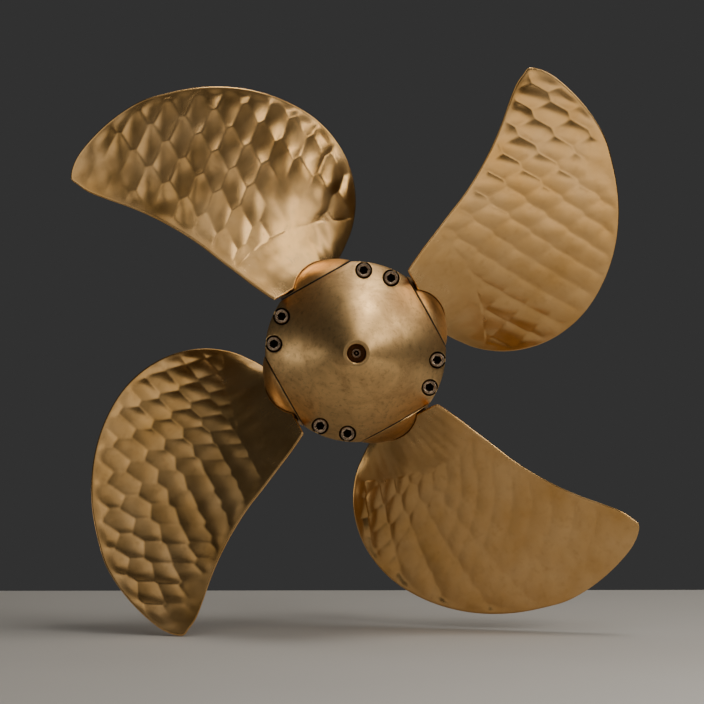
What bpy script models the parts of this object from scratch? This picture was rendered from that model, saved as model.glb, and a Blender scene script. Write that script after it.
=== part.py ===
"""Controllable-pitch ship propeller, four right-handed blades in a two-part hub.

Metres, +Z up. The shaft lies along Y. The origin is the centre of the flange face that bolts to
the shaft, and the nose points towards -Y, so a look along +Y sees the propeller from aft.
"""

import math

import bmesh
import bpy
from mathutils import Matrix, Vector

# Whole propeller
PROPELLER_RADIUS = 0.430
BLADE_COUNT = 4
FIRST_SPINDLE_DEG = 29.35      # of the first blade, from +X towards +Z
PITCH = 0.95 * 2 * PROPELLER_RADIUS
SEAT_GAP = 0.0003              # between two pieces that touch

# Places along the shaft, measured aft from the flange face
SPINDLE_AT = 0.112
RIM_AT = SPINDLE_AT + 0.048
NOSE_AT = SPINDLE_AT + 0.145

# Hub
HUB_RADIUS = 0.1147
FLAT_AT = 0.1026               # from the shaft axis to each blade's flat
CONE_BULGE = 0.004             # how far the cone stands out from a straight line
NOSE_RADIUS = 0.0165
FLANGE_RADIUS, FLANGE_TO, BARREL_FROM = 0.090, 0.010, 0.040
EDGE_BREAK = 0.0015
STUDS, STUD_RADIUS, STUD_PITCH_RADIUS, STUD_STANDS, STUD_SUNK = 8, 0.0069, 0.075, 0.034, 0.022
DOWEL_RADIUS, DOWEL_PITCH_RADIUS, DOWEL_STANDS, DOWEL_SUNK = 0.006, 0.045, 0.010, 0.012
DOWEL_DEG = (0, 180)
RING_RADIUS, RING_SECTION = 0.060, 0.002

# Cap screws, M12
SCREW_PAIR_DEG, SCREW_HALF_SPACING_DEG = 45.0, 10.0
SCREW_PITCH_RADIUS = 0.104
SCREW_FLOOR_AT = SPINDLE_AT + 0.044
HEAD_RADIUS, HEAD_HEIGHT, SOCKET_ACROSS, SOCKET_DEPTH = 0.009, 0.012, 0.010, 0.006
SHANK_RADIUS, SHANK_LENGTH, HEAD_BEVEL = 0.0059, 0.060, 0.0008
COUNTERBORE_RADIUS, DRILL_END = 0.011, 0.002

# Nose hole, its plug and the grease nipple in it
NOSE_BORE_RADIUS, NOSE_BORE_DEPTH, NOSE_CHAMFER = 0.0118, 0.024, 0.0010
PLUG_RADIUS, PLUG_HEIGHT, PLUG_RIM_HEIGHT = 0.0112, 0.009, 0.0015
PLUG_RIM_OUTER, PLUG_RIM_INNER, PLUG_HOLE = 0.0092, 0.0072, 0.0059
NIPPLE_RADIUS, NIPPLE_HEIGHT, NIPPLE_MOUTH, NIPPLE_BALL = 0.0055, 0.013, 0.0034, 0.0012
NIPPLE_BEVEL, NIPPLE_DEEP = 0.001, 0.003

# Blade foot and the journal that the two hub halves clamp
FOOT_RADIUS, FOOT_EDGE, FOOT_APEX = 0.0508, 0.0010, 0.1246
FOOT_UNDERSIDE = FLAT_AT + 0.0018
JOURNAL_RADIUS, COLLAR_RADIUS = 0.030, 0.042
COLLAR_FROM, COLLAR_TO, JOURNAL_END = 0.070, 0.082, 0.062
RUNNING_GAP = 0.0004
SEAL_INNER, SEAL_OUTER = 0.0402, 0.0500

# Blade: edge angles from the spindle, in degrees, at shares of the propeller's radius
RADII = (0.23, 0.28, 0.31, 0.36, 0.42, 0.48, 0.55, 0.62, 0.70, 0.78, 0.85, 0.91, 0.95, 0.98, 1.0)
LEADING_DEG = (12.0, 19.6, 23.6, 27.8, 29.7, 29.7, 28.1, 25.2, 20.4, 13.8, 6.7, -0.8, -6.9, -12.1, -24.3)
TRAILING_DEG = (28.0, 28.0, 28.0, 27.7, 27.1, 26.7, 26.2, 26.3, 26.9, 27.9, 29.0, 29.7, 29.6, 29.1, 24.3)
ROOT_SHARE = 0.235             # where the blade's first section lies, below the cut
ROOT_CUT = 0.1078              # flat underside of the root, from the shaft axis
ROOT_THICK, TIP_THICK, THICK_POWER = 0.032, 0.005, 1.15
EDGE_THICK_ROOT, EDGE_THICK_TIP = 0.0036, 0.0022
THICK_TO_CHORD = 0.12          # the most that the middle stands over the edge's thickness
EDGE_INSET, MOST_INSET = 0.4, 0.2
SWELL_INSIDE, SWELL_SLOPE, SWELL_LENGTH = 0.1775, 0.05, 1.6   # the face's rise towards the foot
SWELL_FROM, SWELL_TO, SWELL_LESS = 0.25, 0.80, 0.80           # less of it towards the trailing edge
TIP_STEP = 0.012               # distance of the last section, as tip_distance measures it
CHORD_STEPS, SPAN_STEPS = 9, 22

HUB_SIDES, FOOT_SIDES, BEARING_SIDES, SMALL_SIDES = 60, 36, 24, 16
CONE_STEPS, DOME_STEPS = 5, 5
OVERRUN = 0.01                 # how far a cutter reaches out of what it cuts
PIN_BEVEL = 0.001


def clear_scene():
    for thing in list(bpy.data.objects):
        bpy.data.objects.remove(thing, do_unlink=True)


def make_material(name, color, metallic, roughness):
    made = bpy.data.materials.new(name)
    made.use_nodes = True
    made.diffuse_color = (*color, 1)
    shader = made.node_tree.nodes["Principled BSDF"]
    shader.inputs["Base Color"].default_value = (*color, 1)
    shader.inputs["Metallic"].default_value = metallic
    shader.inputs["Roughness"].default_value = roughness
    return made


def add_object(name, mesh, material, helper=False):
    """An object in the scene. A helper is a cutter or a guide, which no render shows."""
    made = bpy.data.objects.new(name, mesh)
    bpy.context.scene.collection.objects.link(made)
    if material and not mesh.materials:
        mesh.materials.append(material)
    if helper:
        made.hide_render = True
        made.display_type = "WIRE"
    return made


def mesh_from(name, work):
    bmesh.ops.recalc_face_normals(work, faces=work.faces)
    mesh = bpy.data.meshes.new(name)
    work.to_mesh(mesh)
    work.free()
    return mesh


def shade(mesh, sharp_deg=35):
    mesh.shade_smooth()
    mesh.set_sharp_from_angle(angle=math.radians(sharp_deg))


def turned(name, profile, sides):
    """A closed solid turned about Z from (radius, height) points. A radius of 0 is on the axis,
    and a profile that never reaches the axis is closed on itself, as a ring is."""
    work = bmesh.new()
    rows = []
    for radius, height in profile:
        if radius == 0:
            rows.append([work.verts.new((0, 0, height))])
            continue
        turns = [2 * math.pi * i / sides for i in range(sides)]
        rows.append([work.verts.new((radius * math.cos(t), radius * math.sin(t), height)) for t in turns])
    ring_shaped = len(rows[0]) > 1 and len(rows[-1]) > 1
    pairs = list(zip(rows, rows[1:])) + ([(rows[-1], rows[0])] if ring_shaped else [])
    for low, high in pairs:
        for i in range(sides):
            j = i + 1
            corners = [low[i % len(low)], low[j % len(low)], high[j % len(high)], high[i % len(high)]]
            work.faces.new(dict.fromkeys(corners))
    return mesh_from(name, work)


def prism(name, outline, low, high):
    """A closed solid: an outline in X and Y, carried from one height to another."""
    work = bmesh.new()
    face = work.faces.new([work.verts.new((x, y, low)) for x, y in outline])
    grown = bmesh.ops.extrude_face_region(work, geom=[face])
    moved = [item for item in grown["geom"] if isinstance(item, bmesh.types.BMVert)]
    bmesh.ops.translate(work, verts=moved, vec=(0, 0, high - low))
    return mesh_from(name, work)


def cut(target, cutter, operation="DIFFERENCE"):
    made = target.modifiers.new(cutter.name, "BOOLEAN")
    made.operation = operation
    made.object = cutter
    made.solver = "EXACT"


def settle(thing, sharp_deg=35):
    """Replaces the object's mesh by what its modifiers make of it, so that copies can share it."""
    graph = bpy.context.evaluated_depsgraph_get()
    mesh = bpy.data.meshes.new_from_object(thing.evaluated_get(graph))
    thing.modifiers.clear()
    thing.data = mesh
    shade(mesh, sharp_deg)
    return mesh


def along_shaft(at=0.0, across=0.0, turn_deg=0.0):
    """The place of a piece whose own Z points aft, at a distance from the flange face, and off
    the shaft axis by a radius at an angle from +X towards +Z."""
    turn = math.radians(turn_deg)
    place = Matrix.Translation((across * math.cos(turn), -at, across * math.sin(turn)))
    return place @ Matrix.Rotation(math.pi / 2, 4, "X")


def spindle_deg(index):
    return FIRST_SPINDLE_DEG + 360 / BLADE_COUNT * index


def on_spindle(index):
    """The place of a piece whose own Z points out along a blade's spindle. Its X points to the
    leading edge and its Y forward."""
    return Matrix.Translation((0, -SPINDLE_AT, 0)) @ Matrix.Rotation(
        math.radians(90 - spindle_deg(index)), 4, "Y"
    )


def screw_places():
    """Angle of each cap screw: a pair midway between neighbouring blades."""
    for index in range(BLADE_COUNT):
        middle = spindle_deg(index) + SCREW_PAIR_DEG
        yield middle - SCREW_HALF_SPACING_DEG
        yield middle + SCREW_HALF_SPACING_DEG


def stud_places():
    return [360 / STUDS * (index + 0.5) for index in range(STUDS)]


def journal_profile(gap=0.0):
    """(radius, height) along the spindle, from the inner end out to the foot's underside."""
    inner, thick = JOURNAL_RADIUS + gap, COLLAR_RADIUS + gap
    return [
        (0, JOURNAL_END - gap),
        (inner, JOURNAL_END - gap),
        (inner, COLLAR_FROM - gap),
        (thick, COLLAR_FROM - gap),
        (thick, COLLAR_TO + gap),
        (inner, COLLAR_TO + gap),
    ]


def cone_profile():
    """(radius, distance) from the rim to the nose: a shallow curve bulging from a straight cone."""
    points = []
    for i in range(CONE_STEPS + 1):
        share = i / CONE_STEPS
        radius = HUB_RADIUS + (NOSE_RADIUS - HUB_RADIUS) * share
        bulge = 4 * share * (1 - share) * CONE_BULGE
        points.append((radius + bulge, RIM_AT + (NOSE_AT - RIM_AT) * share + bulge))
    return points


def cut_hub_shape(half, cutters):
    for cutter in cutters:
        cut(half, cutter)
    settle(half, 20)


def make_hub(bronze):
    """Both halves, clamped at the blades' axes. Each keeps half of every journal's bearing."""
    flat_depth = HUB_RADIUS - FLAT_AT + OVERRUN
    shared = []
    for index in range(BLADE_COUNT):
        side = HUB_RADIUS
        slab = prism("cut_flat", [(-side, -side * 2), (side, -side * 2), (side, side * 2), (-side, side * 2)],
                     FLAT_AT, FLAT_AT + flat_depth)
        bearing = turned("cut_bearing", journal_profile(RUNNING_GAP) + [
            (JOURNAL_RADIUS + RUNNING_GAP, FLAT_AT + flat_depth), (0, FLAT_AT + flat_depth)], BEARING_SIDES)
        for mesh in (slab, bearing):
            tool = add_object(mesh.name, mesh, None, helper=True)
            tool.matrix_world = on_spindle(index)
            shared.append(tool)
    for angle in screw_places():
        hole_from, hole_to = SCREW_FLOOR_AT - SHANK_LENGTH - DRILL_END, NOSE_AT
        hole = turned("cut_screw", [
            (0, hole_from), (SHANK_RADIUS + SEAT_GAP, hole_from), (SHANK_RADIUS + SEAT_GAP, SCREW_FLOOR_AT),
            (COUNTERBORE_RADIUS, SCREW_FLOOR_AT), (COUNTERBORE_RADIUS, hole_to), (0, hole_to)], SMALL_SIDES)
        tool = add_object("cut_screw", hole, None, helper=True)
        tool.matrix_world = along_shaft(0, SCREW_PITCH_RADIUS, angle)
        shared.append(tool)

    split = SEAT_GAP / 2
    fore_profile = [
        (0, 0), (FLANGE_RADIUS - EDGE_BREAK, 0), (FLANGE_RADIUS, EDGE_BREAK),
        (FLANGE_RADIUS, FLANGE_TO), (HUB_RADIUS, BARREL_FROM), (HUB_RADIUS, SPINDLE_AT - split),
        (0, SPINDLE_AT - split),
    ]
    aft_profile = [(0, SPINDLE_AT + split), (HUB_RADIUS, SPINDLE_AT + split)] + cone_profile() + [
        (NOSE_BORE_RADIUS + NOSE_CHAMFER, NOSE_AT),
        (NOSE_BORE_RADIUS, NOSE_AT - NOSE_CHAMFER),
        (NOSE_BORE_RADIUS, NOSE_AT - NOSE_BORE_DEPTH), (0, NOSE_AT - NOSE_BORE_DEPTH)]
    fore = add_object("hub_fore_half", turned("hub_fore_half", fore_profile, HUB_SIDES), bronze)
    aft = add_object("hub_aft_half", turned("hub_aft_half", aft_profile, HUB_SIDES), bronze)
    for half in (fore, aft):
        half.matrix_world = along_shaft()

    flange = []
    pins = [(STUD_RADIUS, STUD_SUNK, STUD_PITCH_RADIUS, angle) for angle in stud_places()]
    pins += [(DOWEL_RADIUS, DOWEL_SUNK, DOWEL_PITCH_RADIUS, angle) for angle in DOWEL_DEG]
    for radius, sunk, pitch_radius, angle in pins:
        wall, floor = radius + SEAT_GAP, sunk + SEAT_GAP
        hole = turned("cut_pin", [(0, -OVERRUN), (wall, -OVERRUN), (wall, floor), (0, floor)], SMALL_SIDES)
        tool = add_object("cut_pin", hole, None, helper=True)
        tool.matrix_world = along_shaft(0, pitch_radius, angle)
        flange.append(tool)
    half_groove = RING_SECTION + SEAT_GAP
    groove = turned("cut_groove", [
        (RING_RADIUS - half_groove, -OVERRUN), (RING_RADIUS + half_groove, -OVERRUN),
        (RING_RADIUS + half_groove, 2 * RING_SECTION), (RING_RADIUS - half_groove, 2 * RING_SECTION)],
        HUB_SIDES)
    tool = add_object("cut_groove", groove, None, helper=True)
    tool.matrix_world = along_shaft()
    flange.append(tool)

    bpy.context.view_layer.update()
    cut_hub_shape(fore, shared + flange)
    cut_hub_shape(aft, shared)


def make_cap_screws(steel):
    """Socket head screws that clamp the aft half of the hub to the fore half."""
    top, bevel = HEAD_HEIGHT, HEAD_BEVEL
    solid = turned("cap_screw", [
        (0, -SHANK_LENGTH), (SHANK_RADIUS - bevel, -SHANK_LENGTH), (SHANK_RADIUS, bevel - SHANK_LENGTH),
        (SHANK_RADIUS, 0), (HEAD_RADIUS, 0), (HEAD_RADIUS, top - bevel), (HEAD_RADIUS - bevel, top),
        (0, top)], SMALL_SIDES)
    corner = SOCKET_ACROSS / math.sqrt(3)
    hexagon = [(corner * math.cos(i * math.pi / 3), corner * math.sin(i * math.pi / 3)) for i in range(6)]
    first = add_object("cap_screw_1", solid, steel)
    bar = prism("cut_socket", hexagon, top - SOCKET_DEPTH, top + OVERRUN)
    socket = add_object("cut_socket", bar, None, helper=True)
    cut(first, socket)
    bpy.context.view_layer.update()
    mesh = settle(first)
    for number, angle in enumerate(screw_places(), 1):
        screw = first if number == 1 else add_object(f"cap_screw_{number}", mesh, steel)
        screw.matrix_world = along_shaft(SCREW_FLOOR_AT + SEAT_GAP, SCREW_PITCH_RADIUS, angle)


def make_nose(brass, steel):
    floor = NOSE_AT - NOSE_BORE_DEPTH + SEAT_GAP
    plug = turned("nose_plug", [
        (PLUG_HOLE, 0), (PLUG_RADIUS, 0), (PLUG_RADIUS, PLUG_HEIGHT), (PLUG_RIM_OUTER, PLUG_HEIGHT),
        (PLUG_RIM_OUTER, PLUG_HEIGHT + PLUG_RIM_HEIGHT), (PLUG_RIM_INNER, PLUG_HEIGHT + PLUG_RIM_HEIGHT),
        (PLUG_RIM_INNER, PLUG_HEIGHT), (PLUG_HOLE, PLUG_HEIGHT)], FOOT_SIDES)
    mouth, shoulder = NIPPLE_HEIGHT - NIPPLE_DEEP, NIPPLE_HEIGHT - NIPPLE_BEVEL
    nipple = turned("grease_nipple", [
        (0, 0), (NIPPLE_RADIUS, 0), (NIPPLE_RADIUS, shoulder), (NIPPLE_RADIUS - NIPPLE_BEVEL, NIPPLE_HEIGHT),
        (NIPPLE_MOUTH, NIPPLE_HEIGHT), (NIPPLE_MOUTH, mouth), (NIPPLE_BALL, mouth), (0, mouth + NIPPLE_BALL)],
        SMALL_SIDES)
    for mesh, material in ((plug, brass), (nipple, steel)):
        shade(mesh)
        add_object(mesh.name, mesh, material).matrix_world = along_shaft(floor)


def make_pins(name, radius, stands, sunk, pitch_radius, angles, steel):
    """Round pins that stand forward out of the flange face."""
    mesh = turned(name, [
        (0, -stands), (radius - PIN_BEVEL, -stands), (radius, PIN_BEVEL - stands), (radius, sunk), (0, sunk)],
        SMALL_SIDES)
    shade(mesh)
    for number, angle in enumerate(angles, 1):
        add_object(f"{name}_{number}", mesh, steel).matrix_world = along_shaft(0, pitch_radius, angle)


def make_flange_fittings(steel, rubber):
    make_pins("flange_stud", STUD_RADIUS, STUD_STANDS, STUD_SUNK, STUD_PITCH_RADIUS, stud_places(), steel)
    make_pins("flange_dowel", DOWEL_RADIUS, DOWEL_STANDS, DOWEL_SUNK, DOWEL_PITCH_RADIUS, DOWEL_DEG, steel)
    section = [(RING_RADIUS + RING_SECTION * math.cos(t), 2 * RING_SECTION - SEAT_GAP - RING_SECTION
                + RING_SECTION * math.sin(t)) for t in (i * math.pi / 3 for i in range(6))]
    ring = turned("flange_o_ring", section, FOOT_SIDES)
    shade(ring, 60)
    add_object("flange_o_ring", ring, rubber).matrix_world = along_shaft()


def make_foot_seals(rubber):
    """A flat ring between each blade's foot and its flat on the hub."""
    low, high = FLAT_AT + SEAT_GAP, FOOT_UNDERSIDE - SEAT_GAP
    ring = turned("foot_seal", [(SEAL_INNER, low), (SEAL_OUTER, low), (SEAL_OUTER, high), (SEAL_INNER, high)],
                  FOOT_SIDES)
    shade(ring)
    for index in range(BLADE_COUNT):
        add_object(f"foot_seal_{index + 1}", ring, rubber).matrix_world = on_spindle(index)


def curve_through(places, values, place):
    """A smooth curve through the points, with each slope taken from its two neighbours."""
    last = len(places) - 1
    slopes = []
    for i in range(last + 1):
        before, after = max(i - 1, 0), min(i + 1, last)
        slopes.append((values[after] - values[before]) / (places[after] - places[before]))
    i = max(j for j in range(last) if places[j] <= place or j == 0)
    width = places[i + 1] - places[i]
    t = (place - places[i]) / width
    return (
        values[i] * (1 + 2 * t) * (1 - t) ** 2
        + slopes[i] * width * t * (1 - t) ** 2
        + values[i + 1] * t * t * (3 - 2 * t)
        + slopes[i + 1] * width * t * t * (t - 1)
    )


def tip_distance(share):
    """Falls to 0 at the tip like a square root, so that the outline rounds off there."""
    return math.sqrt(max(0.0, 1 - share))


def edge_angles(share):
    """Angles of the leading and trailing edge from the spindle at a share of the radius, in
    radians. The trailing edge is on the positive side."""
    places = [tip_distance(s) for s in reversed(RADII)]
    place = tip_distance(share)
    leading = curve_through(places, LEADING_DEG[::-1], place)
    trailing = curve_through(places, TRAILING_DEG[::-1], place)
    return -math.radians(leading), math.radians(trailing)


def root_swell(radius, along):
    """How far the face of the root rises off its section towards the foot."""
    inside = max(0.0, SWELL_INSIDE - radius)
    t = min(1.0, max(0.0, (along - SWELL_FROM) / (SWELL_TO - SWELL_FROM)))
    return (SWELL_SLOPE * inside + inside ** 2 / SWELL_LENGTH) * (1 - SWELL_LESS * t * t * (3 - 2 * t))


def blade_section(share):
    """Points round one section, which lies on a cylinder about the shaft axis. Its aft face runs
    along the helix, and its thickness stands off that helix at right angles, forward."""
    radius = share * PROPELLER_RADIUS
    leading, trailing = edge_angles(share)
    slope = math.atan2(PITCH / (2 * math.pi), radius)
    outward = (1 - share) / (1 - ROOT_SHARE)
    thick = TIP_THICK + (ROOT_THICK - TIP_THICK) * outward ** THICK_POWER
    edge = EDGE_THICK_TIP + (EDGE_THICK_ROOT - EDGE_THICK_TIP) * outward
    chord = radius * (trailing - leading) / math.cos(slope)
    thick = min(thick, edge + THICK_TO_CHORD * chord)

    def point(along, off):
        """along runs from 0 at the leading edge to 1 at the trailing edge, off is towards aft."""
        angle = leading + (trailing - leading) * along
        angle -= off * math.sin(slope) / radius
        aft = PITCH / (2 * math.pi) * (leading + (trailing - leading) * along) + off * math.cos(slope)
        return Vector((-radius * math.sin(angle), -aft, radius * math.cos(angle)))

    inset = min(EDGE_INSET * edge / chord, MOST_INSET)
    steps = [inset + (1 - 2 * inset) * (1 - math.cos(math.pi * i / CHORD_STEPS)) / 2
             for i in range(CHORD_STEPS + 1)]
    face, back = [], []
    for along in steps:
        full = edge + (thick - edge) * 4 * along * (1 - along)
        face.append(point(along, edge / 2 + root_swell(radius, along) * 4 * along * (1 - along)))
        back.append(point(along, edge / 2 - full))
    return [point(0, 0)] + face + [point(1, 0)] + back[::-1]


def make_blades(bronze):
    """One casting each: the blade, its domed foot and the journal in the hub."""
    work = bmesh.new()
    root, tip = tip_distance(ROOT_SHARE), TIP_STEP
    rows = []
    for i in range(SPAN_STEPS + 1):
        place = root + (tip - root) * (i / SPAN_STEPS)
        rows.append([work.verts.new(p) for p in blade_section(1 - place * place)])
    for low, high in zip(rows, rows[1:]):
        for j in range(len(low)):
            k = (j + 1) % len(low)
            work.faces.new((low[j], low[k], high[k], high[j]))
    work.faces.new(rows[0])
    work.faces.new(rows[-1])
    bmesh.ops.recalc_face_normals(work, faces=work.faces)
    everything = work.verts[:] + work.edges[:] + work.faces[:]
    opened = bmesh.ops.bisect_plane(work, geom=everything, plane_co=(0, 0, ROOT_CUT), plane_no=(0, 0, 1),
                                    clear_inner=True, dist=1e-7)
    rim = [item for item in opened["geom_cut"] if isinstance(item, bmesh.types.BMEdge)]
    bmesh.ops.holes_fill(work, edges=rim, sides=0)
    blade = add_object("blade_1", mesh_from("blade", work), bronze)

    base = FOOT_UNDERSIDE + FOOT_EDGE
    rise = FOOT_APEX - base
    sphere = (FOOT_RADIUS ** 2 + rise ** 2) / (2 * rise)
    widest = math.asin(FOOT_RADIUS / sphere)
    tilts = [widest * i / DOME_STEPS for i in range(DOME_STEPS, 0, -1)]
    dome = [(sphere * math.sin(tilt), FOOT_APEX - sphere * (1 - math.cos(tilt))) for tilt in tilts]
    profile = journal_profile() + [
        (JOURNAL_RADIUS, FOOT_UNDERSIDE), (FOOT_RADIUS, FOOT_UNDERSIDE)] + dome + [(0, FOOT_APEX)]
    foot = add_object("join_foot", turned("join_foot", profile, FOOT_SIDES), None, helper=True)
    cut(blade, foot, "UNION")
    bpy.context.view_layer.update()
    mesh = settle(blade)
    for index in range(BLADE_COUNT):
        one = blade if index == 0 else add_object(f"blade_{index + 1}", mesh, bronze)
        one.matrix_world = on_spindle(index)


def main():
    clear_scene()
    hub_bronze = make_material("hub_bronze", (0.47, 0.31, 0.14), 1.0, 0.34)
    blade_bronze = make_material("blade_bronze", (0.50, 0.33, 0.15), 1.0, 0.30)
    plug_bronze = make_material("plug_bronze", (0.22, 0.13, 0.06), 1.0, 0.45)
    steel = make_material("screw_steel", (0.45, 0.39, 0.34), 1.0, 0.30)
    rubber = make_material("seal_rubber", (0.02, 0.02, 0.02), 0.0, 0.60)
    make_hub(hub_bronze)
    make_cap_screws(steel)
    make_nose(plug_bronze, steel)
    make_flange_fittings(steel, rubber)
    make_foot_seals(rubber)
    make_blades(blade_bronze)


main()
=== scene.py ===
# %% [markdown]
# # A ship's propeller with turning blades
#
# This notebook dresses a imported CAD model: four skewed bronze blades on round feet, clamped in a
# two-part hub with a pointed cap. On such a propeller each blade turns in the hub to change its
# pitch. The CAD gives every size and every joint, and the cells below give the looks: the tool
# marks left by the milling, the turned finish of the cap, the screws, the studs and the seals.

import math

import bmesh
import bpy
import numpy as np
from mathutils import Matrix, Vector, kdtree


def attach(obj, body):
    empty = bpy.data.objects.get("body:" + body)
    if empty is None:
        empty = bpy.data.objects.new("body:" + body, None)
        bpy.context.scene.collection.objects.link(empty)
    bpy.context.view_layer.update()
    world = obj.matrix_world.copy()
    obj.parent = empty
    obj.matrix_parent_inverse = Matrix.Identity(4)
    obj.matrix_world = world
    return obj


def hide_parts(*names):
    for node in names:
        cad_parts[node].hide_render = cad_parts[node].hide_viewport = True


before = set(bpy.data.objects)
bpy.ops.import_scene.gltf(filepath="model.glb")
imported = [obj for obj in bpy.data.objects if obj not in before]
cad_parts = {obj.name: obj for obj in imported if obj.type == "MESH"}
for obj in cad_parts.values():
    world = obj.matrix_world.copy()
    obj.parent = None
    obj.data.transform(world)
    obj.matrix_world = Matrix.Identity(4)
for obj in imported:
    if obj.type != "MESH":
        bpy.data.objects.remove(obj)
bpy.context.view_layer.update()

# %% [markdown]
# ## Sizes
#
# The frame has the shaft along Y, with the nose towards -Y and the flange face at the origin. The
# blades' spindles cross the shaft 112 mm aft of that face. These are the same driving sizes as in
# the CAD source, in metres, so every piece below lands on its solid.

# %% Driving sizes
BLADE_COUNT = 4
FIRST_SPINDLE_DEG = 29.35
PROPELLER_RADIUS = 0.430
PITCH = 0.95 * 2 * PROPELLER_RADIUS
SPINDLE_AT, RIM_AT, NOSE_AT = 0.112, 0.160, 0.257
SEAT_GAP = 0.0003
HUB_RADIUS, FLAT_AT, CONE_BULGE, NOSE_RADIUS = 0.1147, 0.1026, 0.004, 0.0165


def along_shaft(at=0.0, across=0.0, turn_deg=0.0):
    """The place of a piece whose own Z points aft, at a distance from the flange face."""
    turn = math.radians(turn_deg)
    place = Matrix.Translation((across * math.cos(turn), -at, across * math.sin(turn)))
    return place @ Matrix.Rotation(math.pi / 2, 4, "X")


def on_spindle(index):
    """The place of a piece whose own Z points out along a spindle, and X to the leading edge."""
    turn = math.radians(90 - FIRST_SPINDLE_DEG - 360 / BLADE_COUNT * index)
    return Matrix.Translation((0, -SPINDLE_AT, 0)) @ Matrix.Rotation(turn, 4, "Y")


print("spindles at", [FIRST_SPINDLE_DEG + 90 * i for i in range(BLADE_COUNT)], "degrees")

# %% [markdown]
# ## Helpers for materials
#
# Blender's colour sockets take linear light, but colours are easiest to read as the sRGB hex
# values of a paint program. One function turns the first into the second. Another adds a node,
# sets its sockets and options, and links it in one line, so that a material reads like a recipe.

# %% Material helpers
def linear(hex_colour):
    """'#rrggbb' in sRGB to the linear red, green, blue and alpha that a socket takes."""
    parts = [int(hex_colour[i:i + 2], 16) / 255 for i in (1, 3, 5)]
    return tuple(c / 12.92 if c < 0.04045 else ((c + 0.055) / 1.055) ** 2.4 for c in parts) + (1.0,)


def add_node(tree, kind, sockets, **options):
    """A new node. A socket's value is a number, a colour, or another node's output to link."""
    node = tree.nodes.new(kind)
    for name, value in options.items():
        setattr(node, name, value)
    for name, value in sockets.items():
        if isinstance(value, bpy.types.NodeSocket):
            tree.links.new(value, node.inputs[name])
        else:
            node.inputs[name].default_value = value
    return node


def new_material(name, colour, metallic, roughness):
    """A Principled material, and its node tree and shader to build on."""
    made = bpy.data.materials.new(name)
    made.use_nodes = True
    made.diffuse_color = linear(colour)
    shader = made.node_tree.nodes["Principled BSDF"]
    shader.inputs["Base Color"].default_value = linear(colour)
    shader.inputs["Metallic"].default_value = metallic
    shader.inputs["Roughness"].default_value = roughness
    return made, made.node_tree, shader


print("bronze in linear light:", [round(c, 3) for c in linear("#dcae6e")])

# %% [markdown]
# ## Words for the recipes
#
# Every material below asks for the same few things: noise with patches of a known size, a value
# carried over to another range, a blend of two colours, a little arithmetic, and the distance
# from an axis. Each becomes a short function on top of add_node. Sizes go in as millimetres on
# the real thing, because a pattern at the wrong scale gives a model away.

# %% Noise, ranges, blends and distances
def own_place(tree):
    """Each point in the piece's own frame, in metres, so that a pattern moves with its piece."""
    return add_node(tree, "ShaderNodeTexCoord", {}).outputs["Object"]


def noise(tree, place, size_mm, detail, **sockets):
    """Cloudy noise, from 0 to 1, with patches of a size in millimetres."""
    return add_node(tree, "ShaderNodeTexNoise", {
        "Vector": place, "Scale": 1000 / size_mm, "Detail": detail, **sockets}).outputs["Fac"]


def carried(tree, value, low, high, to_low, to_high):
    """A value from one range carried over to another, and held at its ends."""
    return add_node(tree, "ShaderNodeMapRange", {
        "Value": value, "From Min": low, "From Max": high,
        "To Min": to_low, "To Max": to_high}).outputs["Result"]


def blend(tree, share, first, second):
    """A share of the second colour over the first. Each is a hex value or a node's output."""
    ends = [linear(end) if isinstance(end, str) else end for end in (first, second)]
    return add_node(tree, "ShaderNodeMix", {
        "Factor": share, 6: ends[0], 7: ends[1]}, data_type="RGBA").outputs[2]


def reckon(tree, operation, *values):
    """Arithmetic on numbers and other nodes' outputs."""
    return add_node(tree, "ShaderNodeMath", dict(enumerate(values)), operation=operation).outputs[0]


def from_axis(tree, place, first, second):
    """The flat point on two of the three axes, and its distance from the third."""
    apart = add_node(tree, "ShaderNodeSeparateXYZ", {"Vector": place})
    flat = add_node(tree, "ShaderNodeCombineXYZ", {
        name: apart.outputs[name] for name in (first, second)}).outputs[0]
    return flat, add_node(tree, "ShaderNodeVectorMath", {0: flat}, operation="LENGTH").outputs["Value"]


def drive(tree, shader, outputs):
    """Lets nodes set sockets of the shader."""
    for name, output in outputs.items():
        tree.links.new(output, shader.inputs[name])


print("patches of 60 mm are a noise scale of", round(1000 / 60, 1))

# %% [markdown]
# ## Bronze as the mill and the grinder leave it
#
# Blades of this size are cast in nickel-aluminium bronze, milled on five axes and ground by hand.
# The metal is a warm yellow brown, and browner where hands and weather have been. A metal's look
# comes from its colour and its roughness alone, so the index of refraction stays at the default.
# Cloudy noise shifts both colour and roughness, a finer one gives stains, and near the root a
# noise that is stretched along the blade draws the streaks of the grinding belt.

# %% Milled bronze for the blades
CLOUD_MM, STAIN_MM, STREAK_MM, LONG_STREAKS_A_METRE = 60, 9, 2.2, 14
GROUND_TO, MILLED_FROM = 0.176, 0.181
milled_bronze, tree, shader = new_material("milled_nickel_aluminium_bronze", "#dcae6e", 1.0, 0.3)
place = own_place(tree)
clouds = noise(tree, place, CLOUD_MM, 3.0, Roughness=0.55)
stains = noise(tree, place, STAIN_MM, 4.0, Roughness=0.65)
squeezed = add_node(tree, "ShaderNodeMapping", {
    "Vector": place, "Scale": (1000 / STREAK_MM, 1000 / STREAK_MM, LONG_STREAKS_A_METRE)})
streaks = noise(tree, squeezed.outputs["Vector"], 1000, 2.0)
from_shaft = from_axis(tree, place, "X", "Z")[1]
near_root = carried(tree, from_shaft, MILLED_FROM, GROUND_TO, 0.12, 1.0)
metal = blend(tree, carried(tree, clouds, 0.32, 0.68, 0.0, 1.0), "#d0a262", "#e0b67c")
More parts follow.
